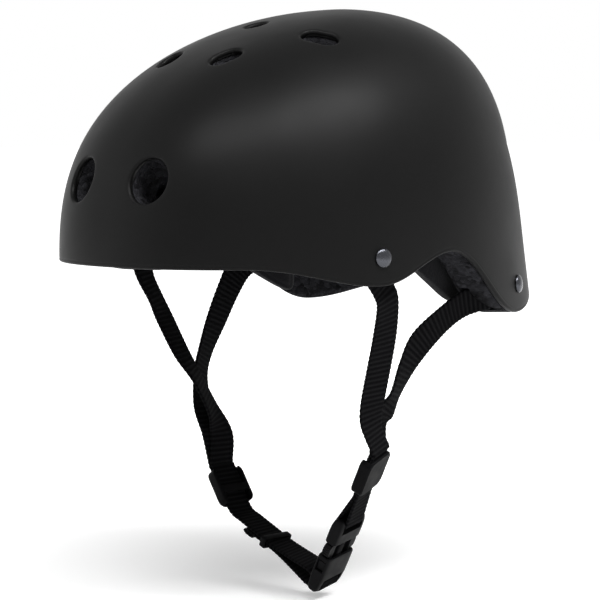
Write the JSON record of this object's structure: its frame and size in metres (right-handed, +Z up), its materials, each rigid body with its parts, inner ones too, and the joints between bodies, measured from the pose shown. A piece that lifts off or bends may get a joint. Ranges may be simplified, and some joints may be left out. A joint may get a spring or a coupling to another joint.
{
  "type": "bicycle helmet",
  "caption": "Matte black skate-style bicycle helmet with round and oval vents, foam liner, pads, riveted webbing, sliders and a side-release chin buckle.",
  "frame": {"origin": "centre of the head opening, in the plane of the front brim", "axes": "+Z up, -Y to the front, +X to the wearer's left"},
  "size_m": [0.209, 0.2833, 0.3199],
  "materials": {
    "shell": "near-black moulded shell with a satin finish",
    "foam": "dark grey speckled expanded foam",
    "pad": "black brushed cloth over soft foam",
    "disc": "black hook-and-loop disc",
    "rivet": "domed bright steel",
    "washer": "plain steel",
    "webbing": "black ribbed woven webbing",
    "slider": "black moulded plastic",
    "buckle": "black moulded plastic",
    "keeper": "black rubber loop"
  },
  "bodies": {
    "helmet": {"outer_shell": "shell", "foam_liner": "foam", "strap_rivets": "rivet", "rivet_washers": "washer", "brow_pad": "pad", "crown_pad": "pad", "side_pad_left": "pad", "side_pad_right": "pad", "rear_pad_left": "pad", "rear_pad_right": "pad", "nape_pad": "pad", "pad_discs": "disc", "strap_left_front": "webbing", "strap_left_rear": "webbing", "strap_right_front": "webbing", "strap_right_rear": "webbing", "chin_strap_left": "webbing", "buckle_base": "buckle"},
    "chin_right": {"strap_right_stack": "webbing", "chin_strap_right": "webbing", "buckle_socket": "buckle"},
    "slider_left": {"slider_left": "slider"},
    "slider_right": {"slider_right": "slider"},
    "strap_keeper": {"strap_keeper": "keeper"},
    "prong_rear": {"prong_rear": "buckle"},
    "prong_front": {"prong_front": "buckle"}
  },
  "joints": [
    {"name": "buckle_release", "type": "hinge", "parent": "helmet", "child": "chin_right", "pos_m": [-0.0739, 0, -0.106], "axis": [0, 1, 0], "range_deg": [0, 50]},
    {"name": "prong_rear_squeeze", "type": "hinge", "parent": "helmet", "child": "prong_rear", "pos_m": [0.03349, 0.00839, -0.15235], "axis": [-0.8486, -0.2419, 0.4704], "range_deg": [0, 5], "stiffness_Nm_per_rad": 0.3},
    {"name": "prong_front_squeeze", "type": "hinge", "parent": "helmet", "child": "prong_front", "pos_m": [0.03715, -0.00839, -0.15438], "axis": [0.8486, 0.2419, -0.4704], "range_deg": [0, 5], "stiffness_Nm_per_rad": 0.3},
    {"name": "slider_left_slide", "type": "slide", "parent": "helmet", "child": "slider_left", "axis": [0.5279, -0.0872, 0.8448], "range_m": [-0.002, 0.002]},
    {"name": "slider_right_slide", "type": "slide", "parent": "chin_right", "child": "slider_right", "axis": [-0.5736, 0, 0.8192], "range_m": [-0.002, 0.0015]},
    {"name": "keeper_slide", "type": "slide", "parent": "chin_right", "child": "strap_keeper", "axis": [0.9336, 0, -0.3584], "range_m": [-0.003, 0.003]}
  ]
}
